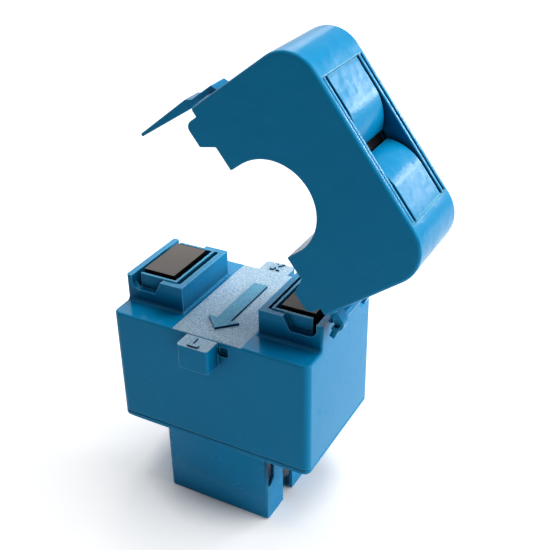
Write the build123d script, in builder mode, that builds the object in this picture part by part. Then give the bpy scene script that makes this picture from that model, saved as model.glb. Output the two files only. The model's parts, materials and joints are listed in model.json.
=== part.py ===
"""Split-core current transformer with a hinged jaw, modelled with the jaw swung open.

Millimetres. X runs along the width towards the hinge, Y to the back, Z up. The origin lies in the
plane of the foot, under the middle of the block. Jaw sketches use the jaw's own plane: U along the
closed width, V up from the legs' ends, so they read as on the closed jaw.
"""
import os
from math import asin, cos, degrees, radians, sin

from build123d import *

# Conductor window and jaw travel
window_width = 19.0
channel_width = 17.8
window_rise = 2.65
open_angle = 53.2

# Block
block_width = 45.6
block_depth = 30.0
block_height = 25.4
block_corner = 1.6
block_edge = 0.5
block_wall = 1.4
block_roof = 1.6

# Bosses that carry the lower pole faces
boss_height = 6.3
boss_depth = 18.2
boss_end_wall = 1.4
boss_outer_wall = 1.3
boss_inner_wall = 1.3
boss_foot = 0.8
tray_outer_gap = 1.5
tray_inner_gap = 0.9
tray_depth = 4.5
tray_drop = 0.35
sleeve_wall = 0.5
sleeve_drop = 0.1

# Core halves, and the coil on the lower half's yoke
core_yoke = 7.4
core_depth = 12.6
core_gap = 0.5
core_outer_gap = 0.2
core_inner_gap = 1.0
core_end_gap = 0.9
core_corner = 1.5
pole_proud = 0.3
pole_gap = 0.1
bobbin_wall = 0.6
bobbin_gap = 0.1
bobbin_flange = 0.9
coil_thickness = 3.2
coil_corner = 2.0
coil_gap = 0.05
lead_radius = 0.45
lead_hole_gap = 0.35

# Bottom cover with the terminal chamber under it
cover_plate = 1.2
cover_rim = 2.4
cover_rim_wall = 1.2
cover_gap = 0.15
seam_height = 0.25
seam_depth = 0.5
core_seat = 8.7
core_seat_inset = 1.2
post_width = 25.0
post_offset = 1.0
post_height = 16.4
post_wall = 1.2
post_corner = 1.0
post_foot = 0.7
panel_step = 0.3
panel_margin = 0.4
corner_slot = 2.8
corner_slot_height = 7.6
corner_slot_chamfer = 1.2
wire_slot = 4.4
wire_slot_y = 5.7
wire_slot_top = 1.4

# Terminal block inside the chamber
terminal_width = 11.0
terminal_end_wall = 1.4
terminal_height = 9.4
wire_room = 7.8
terminal_chamfer = 0.8
clamp_size = 4.0
clamp_length = 5.5
clamp_wall = 0.7
clamp_gap = 0.1
clamp_drop = 2.4
clamp_setback = 1.2
screw_radius = 1.3
screw_gap = 0.05
screw_head_radius = 2.4
screw_head = 1.8
screw_slot = 0.6
screw_reach = 1.2
screw_well_gap = 0.3
peg_radius = 1.1
peg_gap = 0.15

# Marks and tabs on the block
tab_width = 7.1
tab_reach = 4.0
tab_height = 5.4
tab_drop = 0.2
tab_corner = 0.7
tab_offset = -0.8
pocket_width = 2.4
pocket_height = 2.2
pocket_depth = 0.8
pocket_roof = 0.5
pocket_corner = 0.5
arrow_height = 0.5
arrow_head_width = 7.2
arrow_head_length = 3.6
arrow_shaft_width = 3.2
arrow_shaft_length = 15.7
arrow_tip = 3.7

# Jaw housing
jaw_height = 25.8
jaw_latch_corner = 6.8
jaw_hinge_corner = 7.5
jaw_edge = 0.7
jaw_plate = 1.2
tongue_width = 12.2
tongue_thickness = 1.2
tongue_bend = 7.2
tongue_radius = 9.5
tongue_gap = 1.6
tongue_drop = 0.2
tongue_clearance = 0.15
top_margin = 8.4
rib_thickness = 0.9
rib_gap = 0.25
rib_drop = 0.15
rib_height = 3.6
key_depth = 3.1
key_thickness = 1.1
key_width = 4.9
key_slant = 1.6
key_round = 1.4
key_gap = 0.3
key_side_gap = 0.5

# Hinge: open hooks on the jaw that clip on a bar of the block
hinge_out = 2.3
hinge_rise = 0.56
bar_radius = 0.85
bar_running_gap = 0.07
bar_end_inset = 0.8
hook_outer_radius = 1.65
hook_inset = 0.8
hook_width = 2.5
hook_side_gap = 0.3
hook_tail = 3.4
hook_tail_width = 1.2
hook_tail_angle = 60.3
web_drop = 2.1

# Latch strap on the jaw and its catch on the block
strap_width = 5.0
strap_thickness = 1.2
strap_out = 1.7
strap_bracket_low = 0.6
strap_bracket_high = 2.6
strap_leg = 1.1
strap_window_low = 3.9
blade_proud = 0.7
blade_shoulder = 1.4
blade_length = 15.7
blade_thickness = 2.1
blade_tip_width = 4.2
blade_tip_thickness = 0.67
blade_tip_inset = 0.27
catch_reach = 1.1
catch_height = 2.0
catch_gap = 0.2
catch_side_gap = 0.3

# Levels and places that follow from these sizes
block_bottom = post_height + cover_plate
block_top = block_bottom + block_height
parting = block_top + boss_height
half_width = block_width / 2
half_window = window_width / 2
half_channel = channel_width / 2
half_boss_depth = boss_depth / 2
boss_width = half_width - half_channel
boss_x = half_channel + boss_width / 2
tray_inner_x = half_channel + boss_inner_wall
tray_outer_x = half_width - boss_outer_wall
leg_outer_x = tray_outer_x - tray_outer_gap
sleeve_inner_x = tray_inner_x + tray_inner_gap
hole_inner_x = sleeve_inner_x + sleeve_wall
hole_outer_x = leg_outer_x + core_outer_gap
core_leg = leg_outer_x - hole_inner_x - core_inner_gap
core_leg_x = leg_outer_x - core_leg / 2
hinge_x = half_width + hinge_out
hinge_z = parting + hinge_rise
yoke_bottom = block_bottom + core_seat
yoke_top = yoke_bottom + core_yoke
cavity_top = block_top - block_roof
cavity_width = block_width - 2 * block_wall
cavity_depth = block_depth - 2 * block_wall
post_right = post_offset + post_width / 2
chamber_width = post_width - 2 * post_wall
chamber_depth = block_depth - 2 * post_wall
terminal_length = 2 * (wire_slot_y + clamp_size / 2 + clamp_gap + terminal_end_wall)
terminal_x = post_right - post_wall - wire_room - terminal_width / 2
key_outer = tray_outer_x - key_side_gap
key_floor = key_outer - key_width
key_inner = key_floor - key_slant
key_slope = key_slant / key_depth
notch_depth = key_depth + key_gap
lead_x = terminal_x + terminal_width / 2 - clamp_setback - clamp_length / 2
clamp_mouth = clamp_size - 2 * clamp_wall
clamp_z = post_height - clamp_drop - clamp_size / 2
clamp_bottom = clamp_z - clamp_size / 2
clamp_top = clamp_z + clamp_size / 2

# The jaw's plane, swung about the hinge from closed to open
closed_plane = Plane(origin=(0, 0, parting), x_dir=(1, 0, 0), z_dir=(0, -1, 0))
to_hinge = Location((hinge_x, 0, hinge_z))
swing = to_hinge * Location((0, 0, 0), (0, open_angle, 0)) * to_hinge.inverse()
jaw_plane = Plane(swing * closed_plane.location)
jaw_up = Axis(jaw_plane.origin, jaw_plane.y_dir)
top_window = block_width - 2 * top_margin
tongue_start = tongue_gap / 2 + tongue_bend
tongue_turn = degrees(asin(tongue_bend / tongue_radius))
tongue_top = jaw_height - tongue_drop
tongue_centre = tongue_top - tongue_radius
tongue_low = tongue_centre + (tongue_radius - tongue_thickness) * cos(radians(tongue_turn))
upper_core_top = tongue_low - tongue_clearance
jaw_cavity_top = upper_core_top + 2 * tongue_clearance
half_top_window_depth = half_boss_depth - jaw_plate
hook_front = half_boss_depth - hook_inset

os.makedirs("parts", exist_ok=True)


def finish(builder, name):
    """Label a finished piece and write it to its own file."""
    builder.part.label = name
    export_step(builder.part, f"parts/{name}.step")


# Base housing: block shell, bosses with thin core sleeves, tabs, arrow, hinge bar and latch catch
with BuildPart() as base_housing:
    with BuildSketch(Plane.XY.offset(block_bottom)):
        RectangleRounded(block_width, block_depth, block_corner)
    extrude(amount=block_height)

    # bosses with rounded feet, and the block's top edge rounded up to the bosses
    with BuildSketch(Plane.XY.offset(block_top)):
        with Locations((-boss_x, 0), (boss_x, 0)):
            Rectangle(boss_width, boss_depth)
    extrude(amount=boss_height - tray_drop)
    top_edges = base_housing.edges().filter_by_position(Axis.Z, block_top, block_top)
    fillet(top_edges.filter_by_position(Axis.Y, -half_boss_depth, half_boss_depth), boss_foot)
    top_edges = base_housing.edges().filter_by_position(Axis.Z, block_top, block_top)
    fillet(top_edges.group_by(Axis.Y)[0] + top_edges.group_by(Axis.Y)[-1], block_edge)

    # a tray in each boss, and a thin sleeve in the tray, open at its outer side
    tray_length = boss_depth - 2 * boss_end_wall
    with BuildSketch(Plane.XY.offset(parting - tray_drop)):
        for side in (-1, 1):
            with Locations((side * (tray_inner_x + tray_outer_x) / 2, 0)):
                Rectangle(tray_outer_x - tray_inner_x, tray_length)
    extrude(amount=-tray_depth, mode=Mode.SUBTRACT)
    with BuildSketch(Plane.XY.offset(block_top)):
        for side in (-1, 1):
            with Locations((side * (sleeve_inner_x + leg_outer_x) / 2, 0)):
                Rectangle(leg_outer_x - sleeve_inner_x, tray_length)
    extrude(amount=boss_height - sleeve_drop)

    # hollow of the block, and the holes that the core's legs stand in
    with BuildSketch(Plane.XY.offset(block_bottom)):
        Rectangle(cavity_width, cavity_depth)
    extrude(amount=block_height - block_roof, mode=Mode.SUBTRACT)
    with BuildSketch(Plane.XY.offset(cavity_top)):
        for side in (-1, 1):
            with Locations((side * (hole_inner_x + hole_outer_x) / 2, 0)):
                Rectangle(hole_outer_x - hole_inner_x, core_depth + 2 * core_end_gap)
    extrude(amount=parting - cavity_top, mode=Mode.SUBTRACT)

    # notches in the bosses' end walls for the jaw's keys
    for end in (-1, 1):
        with BuildSketch(Plane.XZ.offset(-end * half_boss_depth)) as notches:
            for side in (-1, 1):
                with BuildLine():
                    Polyline(
                        (side * tray_outer_x, parting),
                        (side * tray_outer_x, parting - notch_depth),
                        (side * (key_floor - key_gap), parting - notch_depth),
                        (side * (key_floor - key_gap - notch_depth * key_slope), parting),
                        close=True,
                    )
                make_face()
            corners = notches.vertices().group_by(Axis.Y)[0].sort_by(Axis.X)
            fillet([corners[0], corners[-1]], key_round + key_gap)
        extrude(amount=end * boss_end_wall, mode=Mode.SUBTRACT)

    # tabs at the front and back edges of the channel, and a small pocket beside the front one
    with BuildSketch(Plane.XY.offset(block_top - tab_drop)):
        with Locations((tab_offset, -block_depth / 2), (tab_offset, block_depth / 2)):
            RectangleRounded(tab_width, 2 * tab_reach, tab_corner)
    extrude(amount=-tab_height)
    with Locations((0, 0, cavity_top - tab_height / 2)):
        Box(cavity_width, cavity_depth, tab_height, mode=Mode.SUBTRACT)
    with BuildSketch(Plane.XZ.offset(block_depth / 2)):
        pocket_x = tab_offset + tab_width / 2 + pocket_width / 2
        with Locations((pocket_x, block_top - block_edge - pocket_roof - pocket_height / 2)):
            RectangleRounded(pocket_width, pocket_height, pocket_corner)
    extrude(amount=-pocket_depth, mode=Mode.SUBTRACT)

    # arrow across the channel, pointing to the front
    with BuildSketch(Plane.XY.offset(block_top)):
        arrow_front = arrow_tip - block_depth / 2
        head_back = arrow_front + arrow_head_length
        with BuildLine():
            Polyline(
                (0, arrow_front),
                (arrow_head_width / 2, head_back),
                (-arrow_head_width / 2, head_back),
                close=True,
            )
        make_face()
        with Locations((0, head_back + arrow_shaft_length / 2)):
            Rectangle(arrow_shaft_width, arrow_shaft_length)
    extrude(amount=arrow_height)

    # hinge bar on a web that stays clear of the hooks
    with BuildSketch(Plane.XZ):
        with Locations((hinge_x, hinge_z)):
            Circle(bar_radius)
    extrude(amount=hook_front - bar_end_inset, both=True)
    with BuildSketch(Plane.XZ):
        with BuildLine():
            Polyline(
                (half_width - boss_outer_wall / 2, hinge_z - web_drop),
                (half_width, hinge_z - web_drop),
                (hinge_x, hinge_z - bar_radius),
                (hinge_x, hinge_z),
                (half_width, parting - tray_drop),
                (half_width - boss_outer_wall / 2, parting - tray_drop),
                close=True,
            )
        make_face()
    extrude(amount=hook_front - hook_width - hook_side_gap, both=True)

    # catch for the latch strap: flat below, sloped above
    with BuildSketch(Plane.XZ):
        catch_bottom = parting - strap_window_low + catch_gap
        with BuildLine():
            Polyline(
                (-half_width, catch_bottom),
                (-half_width - catch_reach, catch_bottom),
                (-half_width, catch_bottom + catch_height),
                close=True,
            )
        make_face()
    extrude(amount=strap_width / 2 - strap_leg - catch_side_gap, both=True)
finish(base_housing, "base_housing")


# Bottom cover: plate with a seam groove and a plug-in rim, and the open terminal chamber below it
with BuildPart() as bottom_cover:
    with BuildSketch(Plane.XY.offset(post_height)):
        RectangleRounded(block_width, block_depth, block_corner)
    extrude(amount=cover_plate)
    with BuildSketch(Plane.XY.offset(block_bottom)):
        RectangleRounded(block_width, block_depth, block_corner)
        offset(amount=-seam_depth, mode=Mode.SUBTRACT)
    extrude(amount=-seam_height, mode=Mode.SUBTRACT)
    with BuildSketch(Plane.XY.offset(block_bottom)):
        Rectangle(cavity_width - 2 * cover_gap, cavity_depth - 2 * cover_gap)
        offset(amount=-cover_rim_wall, kind=Kind.INTERSECTION, mode=Mode.SUBTRACT)
    extrude(amount=cover_rim)
    with BuildSketch(Plane.XY.offset(block_bottom)):
        with Locations((-core_leg_x, 0), (core_leg_x, 0)):
            Rectangle(core_leg - 2 * core_seat_inset, core_depth)
    extrude(amount=core_seat)

    with BuildSketch():
        with Locations((post_offset, 0)):
            RectangleRounded(post_width, block_depth, post_corner)
    extrude(amount=post_height)
    fillet(bottom_cover.faces().sort_by(Axis.Z)[0].edges(), post_foot)
    with BuildSketch():
        with Locations((post_offset, 0)):
            Rectangle(chamber_width, chamber_depth)
    extrude(amount=post_height, mode=Mode.SUBTRACT)

    # stepped panel with two corner windows and two wire slots, on the hinge side
    with BuildSketch(Plane.YZ.offset(post_right)):
        with Locations((0, post_height / 2)):
            Rectangle(block_depth - 2 * panel_margin, post_height)
    extrude(amount=-panel_step, mode=Mode.SUBTRACT)
    with BuildSketch(Plane.YZ.offset(post_right)):
        for end in (-1, 1):
            slot_y = block_depth / 2 - panel_margin
            slot_z = post_height - corner_slot_height
            with BuildLine():
                Polyline(
                    (end * slot_y, post_height),
                    (end * slot_y, slot_z),
                    (end * (slot_y - corner_slot + corner_slot_chamfer), slot_z),
                    (end * (slot_y - corner_slot), slot_z + corner_slot_chamfer),
                    (end * (slot_y - corner_slot), post_height),
                    close=True,
                )
            make_face()
            with Locations((end * wire_slot_y, (post_height - wire_slot_top) / 2)):
                Rectangle(wire_slot, post_height - wire_slot_top)
    extrude(amount=-post_wall, mode=Mode.SUBTRACT)

    # holes in the plate for the terminal block's peg and for the leads
    with BuildSketch(Plane.XY.offset(post_height)):
        with Locations((terminal_x, 0)):
            Circle(peg_radius + peg_gap)
        with Locations((lead_x, -wire_slot_y), (lead_x, wire_slot_y)):
            Circle(lead_radius + lead_hole_gap)
    extrude(amount=cover_plate, mode=Mode.SUBTRACT)
finish(bottom_cover, "bottom_cover")


# Lower core half: a U with its yoke on the cover's seats and its pole faces in the sleeves
with BuildPart() as lower_core:
    with BuildSketch(Plane.XZ) as lower_profile:
        core_height = parting + pole_proud - yoke_bottom
        with Locations((0, yoke_bottom + core_height / 2)):
            Rectangle(2 * core_leg_x + core_leg, core_height)
        fillet(lower_profile.vertices().group_by(Axis.Y)[0], core_corner)
        with Locations((0, yoke_top + core_height / 2)):
            Rectangle(2 * core_leg_x - core_leg, core_height, mode=Mode.SUBTRACT)
    extrude(amount=core_depth / 2, both=True)
finish(lower_core, "lower_core")


# Bobbin in two halves that close round the yoke, and the coil that is wound on them
yoke_length = 2 * core_leg_x - core_leg
yoke_z = yoke_bottom + core_yoke / 2
bobbin_length = yoke_length - 2 * bobbin_gap
tube_height = core_yoke + 2 * (bobbin_gap + bobbin_wall)
tube_depth = core_depth + 2 * (bobbin_gap + bobbin_wall)
flange_height = tube_height + 2 * coil_thickness
flange_depth = tube_depth + 2 * coil_thickness
for end, place in ((-1, "front"), (1, "back")):
    with BuildPart() as bobbin_half:
        with BuildSketch(Plane.YZ):
            with Locations((end * tube_depth / 4, yoke_z)):
                Rectangle(tube_depth / 2, tube_height)
        extrude(amount=bobbin_length / 2, both=True)
        with BuildSketch(
            Plane.YZ.offset(-bobbin_length / 2), Plane.YZ.offset(bobbin_length / 2 - bobbin_flange)
        ):
            with Locations((end * flange_depth / 4, yoke_z)):
                Rectangle(flange_depth / 2, flange_height)
        extrude(amount=bobbin_flange)
        with BuildSketch(Plane.YZ):
            with Locations((0, yoke_z)):
                Rectangle(core_depth + 2 * bobbin_gap, core_yoke + 2 * bobbin_gap)
        extrude(amount=bobbin_length / 2, both=True, mode=Mode.SUBTRACT)
    finish(bobbin_half, f"bobbin_{place}_half")

with BuildPart() as secondary_winding:
    with BuildSketch(Plane.YZ):
        with Locations((0, yoke_z)):
            RectangleRounded(flange_depth - coil_gap, flange_height - coil_gap, coil_corner)
            Rectangle(tube_depth + 2 * coil_gap, tube_height + 2 * coil_gap, mode=Mode.SUBTRACT)
    extrude(amount=bobbin_length / 2 - bobbin_flange - coil_gap, both=True)
finish(secondary_winding, "secondary_winding")


# Terminal block: hangs under the plate, wire mouths to the slots, screws from below
with BuildPart() as terminal_block:
    with BuildSketch(Plane.XY.offset(post_height)):
        with Locations((terminal_x, 0)):
            Rectangle(terminal_width, terminal_length)
    extrude(amount=-terminal_height)
    chamfer(terminal_block.faces().sort_by(Axis.Z)[0].edges(), terminal_chamfer)
    with BuildSketch(Plane.XY.offset(post_height)):
        with Locations((terminal_x, 0)):
            Circle(peg_radius)
    extrude(amount=cover_plate)
    with BuildSketch(Plane.YZ.offset(terminal_x + terminal_width / 2)):
        with Locations((-wire_slot_y, clamp_z), (wire_slot_y, clamp_z)):
            Rectangle(clamp_size + 2 * clamp_gap, clamp_size + 2 * clamp_gap)
    extrude(amount=-(clamp_setback + clamp_length), mode=Mode.SUBTRACT)
    with BuildSketch(Plane.XY.offset(post_height - terminal_height)):
        with Locations((lead_x, -wire_slot_y), (lead_x, wire_slot_y)):
            Circle(screw_head_radius + screw_well_gap)
    extrude(amount=clamp_z - post_height + terminal_height, mode=Mode.SUBTRACT)
    with BuildSketch(Plane.XY.offset(post_height)):
        with Locations((lead_x, -wire_slot_y), (lead_x, wire_slot_y)):
            Circle(lead_radius + lead_hole_gap)
    extrude(amount=clamp_z - post_height, mode=Mode.SUBTRACT)
finish(terminal_block, "terminal_block")


# A cage clamp, its screw and the coil's lead at each pole
for end, place in ((-1, "front"), (1, "back")):
    with BuildPart() as clamp_cage:
        with Locations((lead_x, end * wire_slot_y, clamp_z)):
            Box(clamp_length, clamp_size, clamp_size)
            Box(clamp_length, clamp_mouth, clamp_mouth, mode=Mode.SUBTRACT)
        with BuildSketch(Plane.XY.offset(clamp_bottom)):
            with Locations((lead_x, end * wire_slot_y)):
                Circle(screw_radius + screw_gap)
        extrude(amount=clamp_wall, mode=Mode.SUBTRACT)
    finish(clamp_cage, f"terminal_clamp_{place}")

    with BuildPart() as clamp_screw:
        with BuildSketch(Plane.XY.offset(clamp_bottom)):
            with Locations((lead_x, end * wire_slot_y)):
                Circle(screw_head_radius)
        extrude(amount=-screw_head)
        with BuildSketch(Plane.XY.offset(clamp_bottom)):
            with Locations((lead_x, end * wire_slot_y)):
                Circle(screw_radius)
        extrude(amount=clamp_wall + screw_reach)
        with BuildSketch(Plane.XY.offset(clamp_bottom - screw_head)):
            with Locations((lead_x, end * wire_slot_y)):
                Rectangle(2 * screw_head_radius, screw_slot)
        extrude(amount=screw_head / 2, mode=Mode.SUBTRACT)
    finish(clamp_screw, f"terminal_screw_{place}")

    with BuildPart() as lead_wire:
        with BuildSketch(Plane.XY.offset(clamp_top)):
            with Locations((lead_x, end * wire_slot_y)):
                Circle(lead_radius)
        extrude(amount=yoke_z - (flange_height - coil_gap) / 2 - clamp_top)
    finish(lead_wire, f"lead_wire_{place}")


# Jaw housing: U-shaped shell with spring tongues, keys, hinge hooks and the latch strap
with BuildPart() as jaw_housing:
    with BuildSketch(jaw_plane) as jaw_outline:
        with Locations((0, jaw_height / 2)):
            Rectangle(block_width, jaw_height)
        fillet(jaw_outline.vertices().group_by(Axis.Y)[-1].sort_by(Axis.X)[0], jaw_latch_corner)
        fillet(jaw_outline.vertices().group_by(Axis.X)[-1].sort_by(Axis.Y)[-1], jaw_hinge_corner)
    extrude(amount=half_boss_depth, both=True)
    for plate in (0, -1):
        fillet(jaw_housing.edges().group_by(Axis.Y)[plate].sort_by(jaw_up)[1:], jaw_edge)

    # conductor window
    with BuildSketch(jaw_plane):
        with Locations((0, window_rise)):
            Circle(half_window)
        with Locations((0, window_rise / 2)):
            Rectangle(window_width, window_rise)
    extrude(amount=half_boss_depth, both=True, mode=Mode.SUBTRACT)

    # core chamber, open at the legs' ends, and the window in the top
    with BuildSketch(jaw_plane):
        with Locations((0, jaw_cavity_top / 2)):
            Rectangle(2 * core_leg_x + core_leg + 2 * core_gap, jaw_cavity_top)
        with Locations((0, (upper_core_top - core_yoke - core_gap) / 2)):
            Rectangle(
                2 * core_leg_x - core_leg - 2 * core_gap,
                upper_core_top - core_yoke - core_gap,
                mode=Mode.SUBTRACT,
            )
    extrude(amount=core_depth / 2 + core_gap, both=True, mode=Mode.SUBTRACT)
    with BuildSketch(jaw_plane):
        with Locations((0, (upper_core_top + jaw_height) / 2)):
            Rectangle(top_window, jaw_height - upper_core_top)
    extrude(amount=half_top_window_depth, both=True, mode=Mode.SUBTRACT)

    # two spring tongues that curve down on the core, each flat at its root
    with BuildSketch(jaw_plane):
        for side in (-1, 1):
            with BuildLine():
                top_root = (side * top_window / 2, tongue_top)
                top_start = (side * tongue_start, tongue_top)
                low_start = (side * tongue_start, tongue_top - tongue_thickness)
                low_root = (side * top_window / 2, tongue_top - tongue_thickness)
                Line(top_root, top_start)
                arc_centre = (side * tongue_start, tongue_centre)
                outer = CenterArc(arc_centre, tongue_radius, 90, side * tongue_turn)
                inner_radius = tongue_radius - tongue_thickness
                inner = CenterArc(arc_centre, inner_radius, 90, side * tongue_turn)
                Line(outer @ 1, inner @ 1)
                Line(low_start, low_root)
                Line(low_root, top_root)
            make_face()
    extrude(amount=tongue_width / 2, both=True)

    # thin ribs along the window, between the tongues and the plates
    for end in (-1, 1):
        rib_y = half_top_window_depth - rib_gap - rib_thickness / 2
        with BuildSketch(jaw_plane.offset(end * rib_y)):
            with Locations((0, jaw_height - rib_drop - rib_height / 2)):
                Rectangle(top_window, rib_height)
        extrude(amount=rib_thickness / 2, both=True)

    # keys at the legs' ends that drop into the bosses' notches
    for end in (-1, 1):
        with BuildSketch(jaw_plane.offset(end * half_boss_depth)) as keys:
            for side in (-1, 1):
                with BuildLine():
                    Polyline(
                        (side * key_outer, 0),
                        (side * key_outer, -key_depth),
                        (side * key_floor, -key_depth),
                        (side * key_inner, 0),
                        close=True,
                    )
                make_face()
            corners = keys.vertices().group_by(Axis.Y)[0].sort_by(Axis.X)
            fillet([corners[0], corners[-1]], key_round)
        extrude(amount=-end * key_thickness)

    # hooks round the hinge bar, open towards the block, with a tail that stops the jaw
    wrap_start = -hook_tail_angle
    tail_end = (hook_tail * cos(radians(wrap_start)), hook_tail * sin(radians(wrap_start)))
    for end in (-1, 1):
        with BuildSketch(jaw_plane.offset(end * (hook_front - hook_width / 2))):
            with Locations((hinge_x, hinge_rise)):
                Circle(hook_outer_radius)
            with Locations(((half_width - jaw_edge + hinge_x) / 2, hinge_rise + hook_outer_radius / 2)):
                Rectangle(hinge_x - half_width + jaw_edge, hook_outer_radius)
            with BuildLine():
                Polyline(
                    (hinge_x, hinge_rise),
                    (hinge_x - 2 * hook_outer_radius, hinge_rise),
                    (hinge_x - 2 * hook_outer_radius, hinge_rise - 2 * hook_outer_radius),
                    (hinge_x + tail_end[0], hinge_rise + 2 * tail_end[1]),
                    close=True,
                )
            make_face(mode=Mode.SUBTRACT)
            with Locations(Location((hinge_x, hinge_rise), wrap_start)):
                with Locations((hook_tail / 2 + bar_radius / 2, hook_tail_width / 2)):
                    Rectangle(hook_tail - bar_radius, hook_tail_width)
            with Locations((hinge_x, hinge_rise)):
                Circle(bar_radius + bar_running_gap, mode=Mode.SUBTRACT)
        extrude(amount=hook_width / 2, both=True)

    # latch strap: bracket on the side wall, two legs round a window, then the blade with its shoulder
    strap_u = -half_width - strap_out
    with BuildSketch(jaw_plane):
        with BuildLine():
            Polyline(
                (-half_width + jaw_edge, strap_bracket_high),
                (-half_width, strap_bracket_high),
                (strap_u, strap_bracket_high - strap_out / 2),
                (strap_u, -strap_window_low),
                (strap_u + strap_thickness, -strap_window_low),
                (strap_u + strap_thickness, strap_bracket_low),
                (-half_width + jaw_edge, strap_bracket_low),
                close=True,
            )
        make_face()
    extrude(amount=strap_width / 2, both=True)
    with BuildSketch(jaw_plane):
        with Locations((strap_u + strap_thickness / 2, (strap_bracket_low - strap_window_low) / 2)):
            Rectangle(strap_thickness, strap_bracket_low + strap_window_low)
    extrude(amount=strap_width / 2 - strap_leg, both=True, mode=Mode.SUBTRACT)
    blade_plane = Plane(
        origin=jaw_plane.from_local_coords((strap_u, -strap_window_low, 0)),
        x_dir=jaw_plane.x_dir,
        z_dir=-jaw_plane.y_dir,
    )
    root_thickness = blade_thickness - blade_proud
    with BuildSketch(blade_plane):
        with Locations((root_thickness / 2, 0)):
            Rectangle(root_thickness, strap_width)
    with BuildSketch(blade_plane.offset(blade_shoulder)):
        with Locations((blade_thickness / 2 - blade_proud, 0)):
            Rectangle(blade_thickness, strap_width)
    with BuildSketch(blade_plane.offset(blade_length)):
        with Locations((blade_tip_inset - blade_proud + blade_tip_thickness / 2, 0)):
            Rectangle(blade_tip_thickness, blade_tip_width)
    loft(ruled=True)
finish(jaw_housing, "jaw_housing")


# Upper core half, held against the legs' ends by the tongues
with BuildPart() as upper_core:
    with BuildSketch(jaw_plane) as upper_profile:
        upper_pole = pole_proud + pole_gap
        with Locations((0, (upper_pole + upper_core_top) / 2)):
            Rectangle(2 * core_leg_x + core_leg, upper_core_top - upper_pole)
        fillet(upper_profile.vertices().group_by(Axis.Y)[-1], core_corner)
        with Locations((0, (upper_core_top - core_yoke) / 2)):
            Rectangle(2 * core_leg_x - core_leg, upper_core_top - core_yoke, mode=Mode.SUBTRACT)
    extrude(amount=core_depth / 2, both=True)
finish(upper_core, "upper_core")
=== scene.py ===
"""Looks of the split-core current transformer: blue mouldings, ground poles, letters and studio."""
import json
from math import cos, pi, radians

import bmesh
import bpy
from mathutils import Matrix, Vector
from mathutils.bvhtree import BVHTree
from mathutils.geometry import intersect_point_line

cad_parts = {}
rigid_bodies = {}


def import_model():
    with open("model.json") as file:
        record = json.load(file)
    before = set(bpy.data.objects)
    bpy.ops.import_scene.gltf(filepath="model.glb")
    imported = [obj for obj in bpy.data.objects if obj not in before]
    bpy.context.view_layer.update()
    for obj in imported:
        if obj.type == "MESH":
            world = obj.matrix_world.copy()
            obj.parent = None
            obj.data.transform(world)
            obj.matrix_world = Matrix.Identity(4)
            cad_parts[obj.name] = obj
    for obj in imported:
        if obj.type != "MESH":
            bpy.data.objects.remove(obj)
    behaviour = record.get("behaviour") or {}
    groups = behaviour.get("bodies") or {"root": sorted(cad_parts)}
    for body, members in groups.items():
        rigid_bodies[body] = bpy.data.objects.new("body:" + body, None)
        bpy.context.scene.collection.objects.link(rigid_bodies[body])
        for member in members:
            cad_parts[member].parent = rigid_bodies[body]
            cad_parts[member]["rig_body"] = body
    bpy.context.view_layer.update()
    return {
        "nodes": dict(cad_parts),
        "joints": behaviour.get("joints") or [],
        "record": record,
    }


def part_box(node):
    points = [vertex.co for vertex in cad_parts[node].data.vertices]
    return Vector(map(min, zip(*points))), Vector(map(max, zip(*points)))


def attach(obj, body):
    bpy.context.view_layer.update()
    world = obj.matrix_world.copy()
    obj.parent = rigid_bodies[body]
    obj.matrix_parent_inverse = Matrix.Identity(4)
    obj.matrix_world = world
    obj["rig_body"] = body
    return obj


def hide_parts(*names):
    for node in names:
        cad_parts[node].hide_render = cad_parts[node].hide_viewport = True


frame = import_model()
MM = 0.001

# Rounding of the moulded edges, and the limits that keep it near the CAD surface
SHELL_EDGE = 0.22 * MM
EDGE_SEGMENTS = 2
EDGE_ANGLE = radians(35)
FLAT_ANGLE = radians(0.6)
ONWARD_ANGLE = radians(40)
ROOM_SHARE = 2.5
LEAST_WEIGHT = 0.25
WEIGHT_LAYER = "bevel_weight_edge"
STRAY_GAP = 0.11 * MM
SPARE_REACH = 0.4 * MM
SPARE_FACTOR = 1.5
SPARE_ROUNDS = 6
WELD = 0.002 * MM

# Letters on the tabs
LETTER_HEIGHT = 3.0 * MM
LETTER_WIDTH = 2.5 * MM
LETTER_STROKE = 0.9 * MM
LETTER_RELIEF = 0.42 * MM
LETTER_SUNK = 0.05 * MM
LETTER_EDGE = 0.12 * MM
LETTER_INSET = 0.35 * MM
TAB_MIDDLE = -0.8 * MM
TAB_DROP = 0.2 * MM

# Arrow and grain in the channel
ARROW_HEIGHT = 0.5 * MM
ARROW_REACH = 4.0 * MM
GRAIN_MARGIN = 0.7 * MM
UPWARD_LEAST = 0.8
SIDEWAYS_MOST = 0.6

# Colours, scene-linear
WHITE = (1, 1, 1, 1)
BLUE = (0.002, 0.300, 0.61, 1)
BLUE_DEEP = (0.001, 0.265, 0.555, 1)
# Painted highlight for the rounded edges of the plastic
BLUE_PAINTED_HIGHLIGHT = (0.170, 0.68, 0.92, 1)
# Painted shade for the corners and recesses of the plastic
BLUE_PAINTED_SHADE = (0.001, 0.030, 0.070, 1)
GRAIN_DARK = (0.20, 0.42, 0.62, 1)
GRAIN_PALE = (0.67, 0.79, 0.87, 1)
ARROW_DARK = (0.04, 0.30, 0.50, 1)
ARROW_PALE = (0.24, 0.50, 0.66, 1)
# Painted shade for the sides of the raised arrow and letters
PAINTED_SIDE_SHADE = (0.002, 0.045, 0.120, 1)
POLE_DARK = (0.082, 0.071, 0.065, 1)
POLE_PALE = (0.145, 0.127, 0.118, 1)
CORE_BLACK = (0.004, 0.004, 0.005, 1)
FLOOR_COLOUR = (0.92, 0.92, 0.92, 1)

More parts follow.
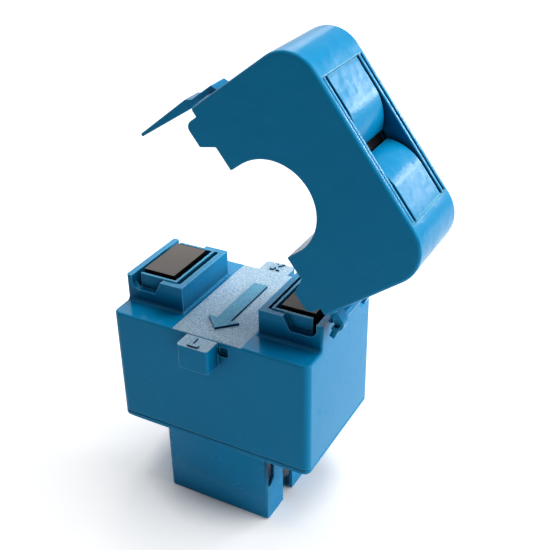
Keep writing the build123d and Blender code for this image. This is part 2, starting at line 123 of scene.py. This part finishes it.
# Dark and pale colour of each inner piece
BOBBIN_COLOURS = (0.62, 0.60, 0.52, 1), (0.72, 0.70, 0.62, 1)
TERMINAL_COLOURS = (0.004, 0.005, 0.006, 1), (0.010, 0.011, 0.012, 1)
# The clamp's brass is darkened far below bright brass, as painted shade behind the wire slots
CLAMP_PAINTED_SHADE_COLOURS = (0.05, 0.036, 0.016, 1), (0.10, 0.074, 0.034, 1)
SCREW_COLOURS = (0.42, 0.43, 0.45, 1), (0.56, 0.57, 0.58, 1)
LEAD_COLOURS = (0.40, 0.13, 0.05, 1), (0.55, 0.20, 0.08, 1)
WINDING_COLOURS = (0.16, 0.035, 0.012, 1), (0.55, 0.17, 0.06, 1)

# Noise, in features per metre
CLOUD_SCALE = 60
GLOSS_SCALE = 110
PATCH_SCALE = 130
WAVE_SCALE = 210
SCUFF_SCALE = 900
INNER_SCALE = 900
TURN_SCALE = 900
POLE_SCALE = 2200
GRAIN_SCALE = 4200
TURN_DISTORTION = 0.4

# Masks: low and high result, then the start and stop of the value that they follow
# Spread of the painted highlight on edges
HIGHLIGHT_SPREAD = (0.0, 0.75, 1.0, 0.8)
# Spread of the painted shade in recesses
PAINTED_SHADE_SPREAD = (0.0, 0.85, 0.92, 0.42)
SCUFF_SPREAD = (0.0, 1.0, 0.56, 0.70)
PATCH_SPREAD = (0.0, 0.35, 0.50, 0.64)
GRAIN_SPREAD = (0.0, 1.0, 0.34, 0.66)
LETTER_TOP_SPREAD = (0.0, 1.0, 0.6, 0.9)
POLE_SPREAD = (0.0, 1.0, 0.9, 0.97)
# Reach and samples of the painted highlight on edges
HIGHLIGHT_REACH = 0.4 * MM
HIGHLIGHT_SAMPLES = 6
# Reach and samples of the painted shade in recesses
PAINTED_SHADE_REACH = 6.0 * MM
PAINTED_SHADE_SAMPLES = 8

# Roughness, as low and high, or as what a mask adds
PLASTIC_ROUGHNESS = (0.16, 0.28)
LETTER_ROUGHNESS = (0.45, 0.65)
POLE_ROUGHNESS = (0.25, 0.45)
INNER_SWING = 0.08
SCUFF_ROUGHNESS = 0.6
GRAIN_ROUGHNESS = 0.3
WINDING_ROUGHNESS = 0.32
FLOOR_ROUGHNESS = 0.9

# Bumps, as strength and distance
PLASTIC_BUMP = (0.5, 0.05 * MM)
POLE_BUMP = (0.2, 0.02 * MM)
INNER_BUMP = (0.15, 0.03 * MM)
WINDING_BUMP = (0.8, 0.1 * MM)
JAW_WAVES = 8.5
BASE_WAVES = 3.0

# Shine
PLASTIC_SPECULAR = 0.08
CORE_SPECULAR = 0.08
INNER_SPECULAR = 0.3
WINDING_METALLIC = 0.85

# Camera, fitted to the corners of the block and the jaw in a 550 x 550 frame
CAMERA_PLACE = Vector((85.46, -142.64, 144.16)) * MM
CAMERA_TURN = (radians(59.347), radians(1.643), radians(29.425))
CAMERA_LENS = 60.64
CAMERA_SENSOR = 36
CAMERA_SHIFT = (0.046, 0.0312)
CAMERA_NEAR = 5 * MM

# Studio: the floor's lift grows from none under the part to white far away
AIM = Vector((4, 0, 45)) * MM
SKY_LEVEL = 0.05
BACKDROP_LEVEL = 1.0
UNDER_LIFT = 0.0
UNDER_START = 0.012
UNDER_STOP = 0.024
FLOOR_LIFT = 0.40
FAR_LIFT = 1.0
LIFT_START = 0.22
LIFT_STOP = 0.75
FLOOR_SIZE = 40.0

# Places from the record
record = frame["record"]
channel_floor = next(m for m in record["mounts"] if m["name"] == "channel_floor")["pos_m"][2]
openings = record["physics"]["openings"]
channel_box = next(o for o in openings if o["name"] == "conductor_channel")["box_m"]
channel_half = channel_box[1][0] - GRAIN_MARGIN
open_angle = radians(-frame["joints"][0]["range_deg"][0])


def new_material(name):
    """A node material with only its output and a Principled shader."""
    material = bpy.data.materials.new(name)
    material.use_nodes = True
    nodes = material.node_tree.nodes
    nodes.clear()
    output = nodes.new("ShaderNodeOutputMaterial")
    shader = nodes.new("ShaderNodeBsdfPrincipled")
    material.node_tree.links.new(shader.outputs[0], output.inputs["Surface"])
    return material, shader


def link(material, output, target):
    material.node_tree.links.new(output, target)


def feed(material, value, target):
    """Link a socket to the target, or set the target to a plain value."""
    if isinstance(value, bpy.types.NodeSocket):
        link(material, value, target)
    else:
        target.default_value = value


def add(material, kind, inputs=(), **settings):
    """A node with its settings, and inputs given as values or as sockets to link."""
    node = material.node_tree.nodes.new(kind)
    for key, value in settings.items():
        setattr(node, key, value)
    for socket, value in dict(inputs).items():
        feed(material, value, node.inputs[socket])
    return node


def noise(material, scale, detail=3.0):
    """Noise in the object's own coordinates, with scale in features per metre."""
    place = add(material, "ShaderNodeTexCoord")
    inputs = {"Vector": place.outputs["Object"], "Scale": scale, "Detail": detail}
    return add(material, "ShaderNodeTexNoise", inputs).outputs[0]


def spread(material, value, low, high, start=0.0, stop=1.0):
    """The value, taken from start to stop, spread from low to high."""
    inputs = {"Value": value, "From Min": start, "From Max": stop, "To Min": low, "To Max": high}
    return add(material, "ShaderNodeMapRange", inputs).outputs["Result"]


def maths(material, operation, *values):
    inputs = dict(enumerate(values))
    return add(material, "ShaderNodeMath", inputs, operation=operation).outputs[0]


def mix_colour(material, factor, first, second):
    """The first colour where the factor is zero, the second where it is one."""
    node = add(material, "ShaderNodeMix", data_type="RGBA")
    targets = {s.name: s for s in node.inputs if s.enabled and s.type in ("RGBA", "VALUE")}
    for socket, value in (("Factor", factor), ("A", first), ("B", second)):
        feed(material, value, targets[socket])
    return next(s for s in node.outputs if s.enabled)


def bump(material, shader, height, strength, distance):
    inputs = {"Height": height, "Strength": strength, "Distance": distance}
    node = add(material, "ShaderNodeBump", inputs)
    link(material, node.outputs["Normal"], shader.inputs["Normal"])


def between(material, value, low, high):
    """One where the value lies from low to high, zero elsewhere."""
    above = maths(material, "GREATER_THAN", value, low)
    return maths(material, "MULTIPLY", above, maths(material, "LESS_THAN", value, high))


def channel_masks(material):
    """Masks of the channel's floor with the tabs, of the arrow's top and of the arrow's sides, which
    get painted shade.
    """
    place = add(material, "ShaderNodeTexCoord")
    point = add(material, "ShaderNodeSeparateXYZ", {0: place.outputs["Object"]}).outputs
    normal = add(material, "ShaderNodeSeparateXYZ", {0: place.outputs["Normal"]}).outputs
    inside = between(material, point["X"], -channel_half, channel_half)
    facing_up = maths(material, "GREATER_THAN", normal["Z"], UPWARD_LEAST)
    upward = maths(material, "MULTIPLY", inside, facing_up)
    middle = channel_floor + ARROW_HEIGHT / 2
    floor_level = between(material, point["Z"], channel_floor - 2 * TAB_DROP, middle)
    top_level = between(material, point["Z"], middle, channel_floor + 2 * ARROW_HEIGHT)
    across = between(material, point["X"], -ARROW_REACH, ARROW_REACH)
    facing_aside = between(material, normal["Z"], -SIDEWAYS_MOST, SIDEWAYS_MOST)
    sideways = maths(material, "MULTIPLY", across, facing_aside)
    side_level = between(material, point["Z"], channel_floor, channel_floor + ARROW_HEIGHT)
    ground = maths(material, "MULTIPLY", upward, floor_level)
    arrow = maths(material, "MULTIPLY", upward, top_level)
    return ground, arrow, maths(material, "MULTIPLY", sideways, side_level)


def painted_highlight_mask(material):
    """Rises towards the edges of the shape, within the highlight reach, where it lays a painted
    highlight.
    """
    rounded = add(material, "ShaderNodeBevel", {"Radius": HIGHLIGHT_REACH}, samples=HIGHLIGHT_SAMPLES)
    flat = add(material, "ShaderNodeNewGeometry")
    inputs = {0: rounded.outputs[0], 1: flat.outputs["Normal"]}
    turn = add(material, "ShaderNodeVectorMath", inputs, operation="DOT_PRODUCT")
    return spread(material, turn.outputs["Value"], *HIGHLIGHT_SPREAD)


def painted_shade_mask(material):
    """Rises in the corners and recesses of the shape itself, where it lays painted shade on the
    plastic.
    """
    settings = {"samples": PAINTED_SHADE_SAMPLES, "only_local": True}
    node = add(material, "ShaderNodeAmbientOcclusion", {"Distance": PAINTED_SHADE_REACH}, **settings)
    return spread(material, node.outputs["AO"], *PAINTED_SHADE_SPREAD)


def scuff_mask(material):
    """Fine rubbed marks that gather in patches."""
    marks = spread(material, noise(material, SCUFF_SCALE, detail=6), *SCUFF_SPREAD)
    patches = spread(material, noise(material, PATCH_SCALE, detail=2), *PATCH_SPREAD)
    return maths(material, "MULTIPLY", marks, patches)


def eroded_grain(material):
    """Fine speckle of the spark-eroded surface, from zero to one."""
    return spread(material, noise(material, GRAIN_SCALE, detail=2), *GRAIN_SPREAD)


def blue_plastic(name, waves, grained=False):
    """Moulded plastic: flow clouds, painted shade in recesses, painted highlights on edges, shrinkage
    waves, and grain if asked.
    """
    material, shader = new_material(name)
    colour = mix_colour(material, noise(material, CLOUD_SCALE, detail=1), BLUE_DEEP, BLUE)
    # Painted shade: darkens the colour in the corners and recesses
    colour = mix_colour(material, painted_shade_mask(material), colour, BLUE_PAINTED_SHADE)
    # Painted highlight: pales the colour along the edges
    colour = mix_colour(material, painted_highlight_mask(material), colour, BLUE_PAINTED_HIGHLIGHT)
    roughness = spread(material, noise(material, GLOSS_SCALE, detail=1), *PLASTIC_ROUGHNESS)
    scuffs = scuff_mask(material)
    roughness = maths(material, "MULTIPLY_ADD", scuffs, SCUFF_ROUGHNESS, roughness)
    height = maths(material, "MULTIPLY", noise(material, WAVE_SCALE, detail=2), waves)
    if grained:
        ground, arrow, painted_riser_shade = channel_masks(material)
        grain = eroded_grain(material)
        ground_colour = mix_colour(material, grain, GRAIN_DARK, GRAIN_PALE)
        arrow_colour = mix_colour(material, grain, ARROW_DARK, ARROW_PALE)
        colour = mix_colour(material, ground, colour, ground_colour)
        colour = mix_colour(material, arrow, colour, arrow_colour)
        # Painted shade on the arrow's sides
        colour = mix_colour(material, painted_riser_shade, colour, PAINTED_SIDE_SHADE)
        grained_part = maths(material, "ADD", ground, arrow)
        roughness = maths(material, "MULTIPLY_ADD", grained_part, GRAIN_ROUGHNESS, roughness)
        height = maths(material, "MULTIPLY_ADD", grained_part, grain, height)
    link(material, colour, shader.inputs["Base Color"])
    link(material, roughness, shader.inputs["Roughness"])
    bump(material, shader, height, *PLASTIC_BUMP)
    shader.inputs["Specular IOR Level"].default_value = PLASTIC_SPECULAR
    return material


def marking(name):
    """Raised letters: grained like the tab on top, with painted shade on their sides."""
    material, shader = new_material(name)
    place = add(material, "ShaderNodeTexCoord")
    normal = add(material, "ShaderNodeSeparateXYZ", {0: place.outputs["Normal"]}).outputs
    top = spread(material, normal["Z"], *LETTER_TOP_SPREAD)
    grain = eroded_grain(material)
    pale = mix_colour(material, grain, ARROW_DARK, GRAIN_PALE)
    # Painted shade on the letters' sides, grain on their tops
    link(material, mix_colour(material, top, PAINTED_SIDE_SHADE, pale), shader.inputs["Base Color"])
    link(material, spread(material, grain, *LETTER_ROUGHNESS), shader.inputs["Roughness"])
    bump(material, shader, grain, *PLASTIC_BUMP)
    shader.inputs["Specular IOR Level"].default_value = PLASTIC_SPECULAR
    return material


def core_metal(name, pole_axis):
    """Black core with a ground, gray-brown face where its surface looks along pole_axis."""
    material, shader = new_material(name)
    place = add(material, "ShaderNodeTexCoord")
    inputs = {0: place.outputs["Normal"], 1: pole_axis}
    turn = add(material, "ShaderNodeVectorMath", inputs, operation="DOT_PRODUCT")
    ground = spread(material, turn.outputs["Value"], *POLE_SPREAD)
    specks = noise(material, POLE_SCALE, detail=4)
    pole = mix_colour(material, specks, POLE_DARK, POLE_PALE)
    link(material, mix_colour(material, ground, CORE_BLACK, pole), shader.inputs["Base Color"])
    link(material, spread(material, specks, *POLE_ROUGHNESS), shader.inputs["Roughness"])
    bump(material, shader, specks, *POLE_BUMP)
    shader.inputs["Specular IOR Level"].default_value = CORE_SPECULAR
    return material


def plain_material(name, colours, roughness, metallic=0.0, specular=INNER_SPECULAR):
    """A colour that varies between dark and pale on a fine scale, for the inner pieces."""
    material, shader = new_material(name)
    specks = noise(material, INNER_SCALE)
    link(material, mix_colour(material, specks, *colours), shader.inputs["Base Color"])
    varied = spread(material, specks, roughness - INNER_SWING, roughness + INNER_SWING)
    link(material, varied, shader.inputs["Roughness"])
    bump(material, shader, specks, *INNER_BUMP)
    shader.inputs["Metallic"].default_value = metallic
    shader.inputs["Specular IOR Level"].default_value = specular
    return material


def winding_copper(name):
    """Enamelled copper laid in close turns round the yoke."""
    material, shader = new_material(name)
    place = add(material, "ShaderNodeTexCoord").outputs["Object"]
    inputs = {"Vector": place, "Scale": TURN_SCALE, "Distortion": TURN_DISTORTION}
    turns = add(material, "ShaderNodeTexWave", inputs, bands_direction="X").outputs[0]
    link(material, mix_colour(material, turns, *WINDING_COLOURS), shader.inputs["Base Color"])
    bump(material, shader, turns, *WINDING_BUMP)
    shader.inputs["Metallic"].default_value = WINDING_METALLIC
    shader.inputs["Roughness"].default_value = WINDING_ROUGHNESS
    return material


def seen_directly(owner):
    """One for rays that show the backdrop itself: camera, glossy and transmission rays."""
    path = add(owner, "ShaderNodeLightPath").outputs
    seen = maths(owner, "MAXIMUM", path["Is Camera Ray"], path["Is Glossy Ray"])
    return maths(owner, "MAXIMUM", seen, path["Is Transmission Ray"])


def give(obj, material):
    obj.data.materials.clear()
    obj.data.materials.append(material)


def place_piece(name, data):
    piece = bpy.data.objects.new(name, data)
    bpy.context.scene.collection.objects.link(piece)
    return piece


def edge_room(edge):
    """Length of the shortest edge that the rounding of this edge could run into.

    Neighbours that carry the rounding on don't count.
    """
    lengths = []
    for corner in edge.verts:
        along = (corner.co - edge.other_vert(corner).co).normalized()
        ends_here = True
        for other in corner.link_edges:
            if other == edge:
                continue
            onward = (other.other_vert(corner).co - corner.co).normalized()
            if along.dot(onward) > cos(ONWARD_ANGLE):
                ends_here = False
            else:
                lengths.append(other.calc_length())
        if ends_here:
            lengths.append(edge.calc_length())
    return min(lengths, default=0.0)


def weigh_edges(shape, width):
    """Give each sharp edge the share of the rounding's width that it has room for."""
    weights = shape.edges.layers.float.new(WEIGHT_LAYER)
    for edge in shape.edges:
        if edge.is_manifold and edge.calc_face_angle() > EDGE_ANGLE:
            weight = min(1.0, edge_room(edge) / (ROOM_SHARE * width))
            edge[weights] = weight if weight > LEAST_WEIGHT else 0.0


def round_edges(piece, width, by_room=True):
    """Round the weighted edges, or all sharp ones as far as the tightest allows.

    Flat faces stay flat.
    """
    piece.data.shade_smooth()
    rounding = piece.modifiers.new("rounding", "BEVEL")
    rounding.width = width
    rounding.segments = EDGE_SEGMENTS
    rounding.limit_method = "WEIGHT" if by_room else "ANGLE"
    rounding.angle_limit = EDGE_ANGLE
    rounding.harden_normals = True
    rounding.use_clamp_overlap = not by_room
    joined = piece.modifiers.new("joined", "WELD")
    joined.merge_threshold = WELD
    weights = piece.modifiers.new("normals", "WEIGHTED_NORMAL")
    weights.keep_sharp = True


def spare_strays(piece):
    """Leave edges sharp where their rounding would stand off the CAD surface."""
    mesh = piece.data
    source = bmesh.new()
    source.from_mesh(mesh)
    surface = BVHTree.FromBMesh(source)
    source.free()
    weights = mesh.attributes[WEIGHT_LAYER].data
    for _ in range(SPARE_ROUNDS):
        shown = piece.evaluated_get(bpy.context.evaluated_depsgraph_get())
        places = [vertex.co.copy() for vertex in shown.data.vertices]
        gaps = [(place, surface.find_nearest(place)[3]) for place in places]
        strays = [(place, gap) for place, gap in gaps if gap > STRAY_GAP]
        for edge in mesh.edges:
            start, end = (mesh.vertices[i].co for i in edge.vertices)
            for place, gap in strays:
                share = min(max(intersect_point_line(place, start, end)[1], 0.0), 1.0)
                reach = SPARE_REACH + SPARE_FACTOR * gap
                if (start.lerp(end, share) - place).length < reach:
                    weights[edge.index].value = 0.0
        mesh.update()
        piece.update_tag()
        bpy.context.view_layer.update()


def rounded_shell(node, material, by_room=True):
    """A copy of a CAD piece with its sharp edges rounded, standing for that piece."""
    mesh = frame["nodes"][node].data.copy()
    shape = bmesh.new()
    shape.from_mesh(mesh)
    bmesh.ops.remove_doubles(shape, verts=shape.verts, dist=WELD)
    bmesh.ops.dissolve_limit(shape, angle_limit=FLAT_ANGLE, verts=shape.verts, edges=shape.edges)
    if by_room:
        weigh_edges(shape, SHELL_EDGE)
    shape.to_mesh(mesh)
    shape.free()
    piece = place_piece(f"{node}_shell", mesh)
    round_edges(piece, SHELL_EDGE, by_room)
    if by_room:
        spare_strays(piece)
    give(piece, material)
    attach(piece, frame["nodes"][node]["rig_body"])
    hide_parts(node)


def raised_letter(name, outline, place, material):
    """A letter that stands up from a tab: its outline, raised and with rounded edges."""
    shape = bmesh.new()
    face = shape.faces.new([shape.verts.new((x, y, 0)) for x, y in outline])
    raised = bmesh.ops.extrude_face_region(shape, geom=[face])["geom"]
    top = [part for part in raised if isinstance(part, bmesh.types.BMVert)]
    bmesh.ops.translate(shape, vec=(0, 0, LETTER_RELIEF + LETTER_SUNK), verts=top)
    bmesh.ops.recalc_face_normals(shape, faces=shape.faces)
    weigh_edges(shape, LETTER_EDGE)
    mesh = bpy.data.meshes.new(name)
    shape.to_mesh(mesh)
    shape.free()
    piece = place_piece(name, mesh)
    piece.location = place
    round_edges(piece, LETTER_EDGE)
    give(piece, material)
    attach(piece, "base")


def softbox(name, towards, distance, width, height, level):
    """An area lamp that aims at the object and lights a facing surface to the given level."""
    lamp = bpy.data.lights.new(name, "AREA")
    lamp.shape = "RECTANGLE"
    lamp.size = width
    lamp.size_y = height
    lamp.energy = level * (pi * distance) ** 2
    lamp_object = place_piece(name, lamp)
    lamp_object.location = AIM + Vector(towards).normalized() * distance
    lamp_object.rotation_euler = Vector(towards).to_track_quat("Z", "Y").to_euler()
    lamp_object.visible_camera = False


# Blue shells; the block's rounding stays clamped, because a free one grows spikes there
rounded_shell("jaw_housing", blue_plastic("jaw_blue", JAW_WAVES))
rounded_shell("base_housing", blue_plastic("base_blue", BASE_WAVES, grained=True), by_room=False)
rounded_shell("bottom_cover", blue_plastic("cover_blue", BASE_WAVES))

# Raised terminal letters, L on the front tab and K on the back one
width, height, stroke = LETTER_WIDTH, LETTER_HEIGHT, LETTER_STROKE
letter_l = [(0, 0), (width, 0), (width, stroke), (stroke, stroke), (stroke, height), (0, height)]
letter_k = [
    (0, 0),
    (stroke, 0),
    (stroke, (height - stroke) / 2),
    (width - stroke, 0),
    (width, 0),
    (stroke + stroke / 2, height / 2),
    (width, height),
    (width - stroke, height),
    (stroke, (height + stroke) / 2),
    (stroke, height),
    (0, height),
]
base_low, base_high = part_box("base_housing")
letter_x = TAB_MIDDLE - LETTER_WIDTH / 2
letter_z = channel_floor - TAB_DROP - LETTER_SUNK
front_y = base_low[1] + LETTER_INSET
back_y = base_high[1] - LETTER_INSET - LETTER_HEIGHT
letter_blue = marking("letter_blue")
raised_letter("letter_l", letter_l, (letter_x, front_y, letter_z), letter_blue)
raised_letter("letter_k", letter_k, (letter_x, back_y, letter_z), letter_blue)

# Core halves, coil and terminals
pole_up = Vector((0, 0, 1))
pole_down = Matrix.Rotation(open_angle, 3, "Y") @ -pole_up
bobbin_white = plain_material("bobbin_white", BOBBIN_COLOURS, roughness=0.5)
block_black = plain_material("terminal_black", TERMINAL_COLOURS, roughness=0.8, specular=0.03)
# Painted shade: the clamp's brass is kept near black
clamp_brass = plain_material("clamp_brass", CLAMP_PAINTED_SHADE_COLOURS, roughness=0.6, metallic=0.6, specular=0.1)
screw_zinc = plain_material("screw_zinc", SCREW_COLOURS, roughness=0.33, metallic=0.95)
lead_copper = plain_material("lead_copper", LEAD_COLOURS, roughness=0.35, metallic=0.9)
nodes = frame["nodes"]
give(nodes["lower_core"], core_metal("lower_core_metal", pole_up))
give(nodes["upper_core"], core_metal("upper_core_metal", pole_down))
give(nodes["secondary_winding"], winding_copper("winding_copper"))
give(nodes["terminal_block"], block_black)
for end in ("front", "back"):
    give(nodes[f"bobbin_{end}_half"], bobbin_white)
    give(nodes[f"terminal_clamp_{end}"], clamp_brass)
    give(nodes[f"terminal_screw_{end}"], screw_zinc)
    give(nodes[f"lead_wire_{end}"], lead_copper)

# World: a white backdrop to look at that lights the object only faintly
world = bpy.data.worlds.new("studio")
bpy.context.scene.world = world
world.use_nodes = True
background = world.node_tree.nodes["Background"]
background.inputs["Color"].default_value = WHITE
backdrop = spread(world, seen_directly(world), SKY_LEVEL, BACKDROP_LEVEL)
link(world, backdrop, background.inputs["Strength"])

# Floor
half = FLOOR_SIZE / 2
corners = [(-half, -half, 0), (half, -half, 0), (half, half, 0), (-half, half, 0)]
floor_mesh = bpy.data.meshes.new("floor")
floor_mesh.from_pydata(corners, [], [(0, 1, 2, 3)])
floor = place_piece("floor", floor_mesh)
floor_white, floor_shader = new_material("floor_white")
floor_shader.inputs["Base Color"].default_value = FLOOR_COLOUR
floor_shader.inputs["Roughness"].default_value = FLOOR_ROUGHNESS
floor_shader.inputs["Specular IOR Level"].default_value = 0.0
floor_shader.inputs["Emission Color"].default_value = WHITE
place = add(floor_white, "ShaderNodeTexCoord").outputs["Object"]
away = add(floor_white, "ShaderNodeVectorMath", {0: place}, operation="LENGTH").outputs["Value"]
lift = spread(floor_white, away, FLOOR_LIFT, FAR_LIFT, LIFT_START, LIFT_STOP)
beside = spread(floor_white, away, UNDER_LIFT, 1.0, UNDER_START, UNDER_STOP)
lift = maths(floor_white, "MULTIPLY", beside, lift)
lift = maths(floor_white, "MULTIPLY", seen_directly(floor_white), lift)
link(floor_white, lift, floor_shader.inputs["Emission Strength"])
give(floor, floor_white)

# Lamps
softbox("key", towards=(0.78, 0.30, 0.53), distance=0.55, width=0.36, height=0.36, level=0.64)
softbox("back", towards=(-0.46, 0.72, 0.52), distance=0.55, width=0.26, height=0.20, level=0.15)
softbox("top", towards=(0.0, 0.27, 0.96), distance=0.55, width=0.40, height=0.40, level=0.70)
softbox("rear", towards=(0.42, 0.87, 0.30), distance=0.50, width=0.30, height=0.20, level=0.08)
softbox("glint", towards=(0.484, 0.817, 0.314), distance=0.382, width=0.10, height=0.045, level=0.20)

# Camera
camera_data = bpy.data.cameras.new("camera")
camera_data.lens = CAMERA_LENS
camera_data.sensor_width = CAMERA_SENSOR
camera_data.shift_x, camera_data.shift_y = CAMERA_SHIFT
camera_data.clip_start = CAMERA_NEAR
camera = place_piece("camera", camera_data)
camera.location = CAMERA_PLACE
camera.rotation_euler = CAMERA_TURN
bpy.context.scene.camera = camera
bpy.context.scene.view_settings.view_transform = "Standard"
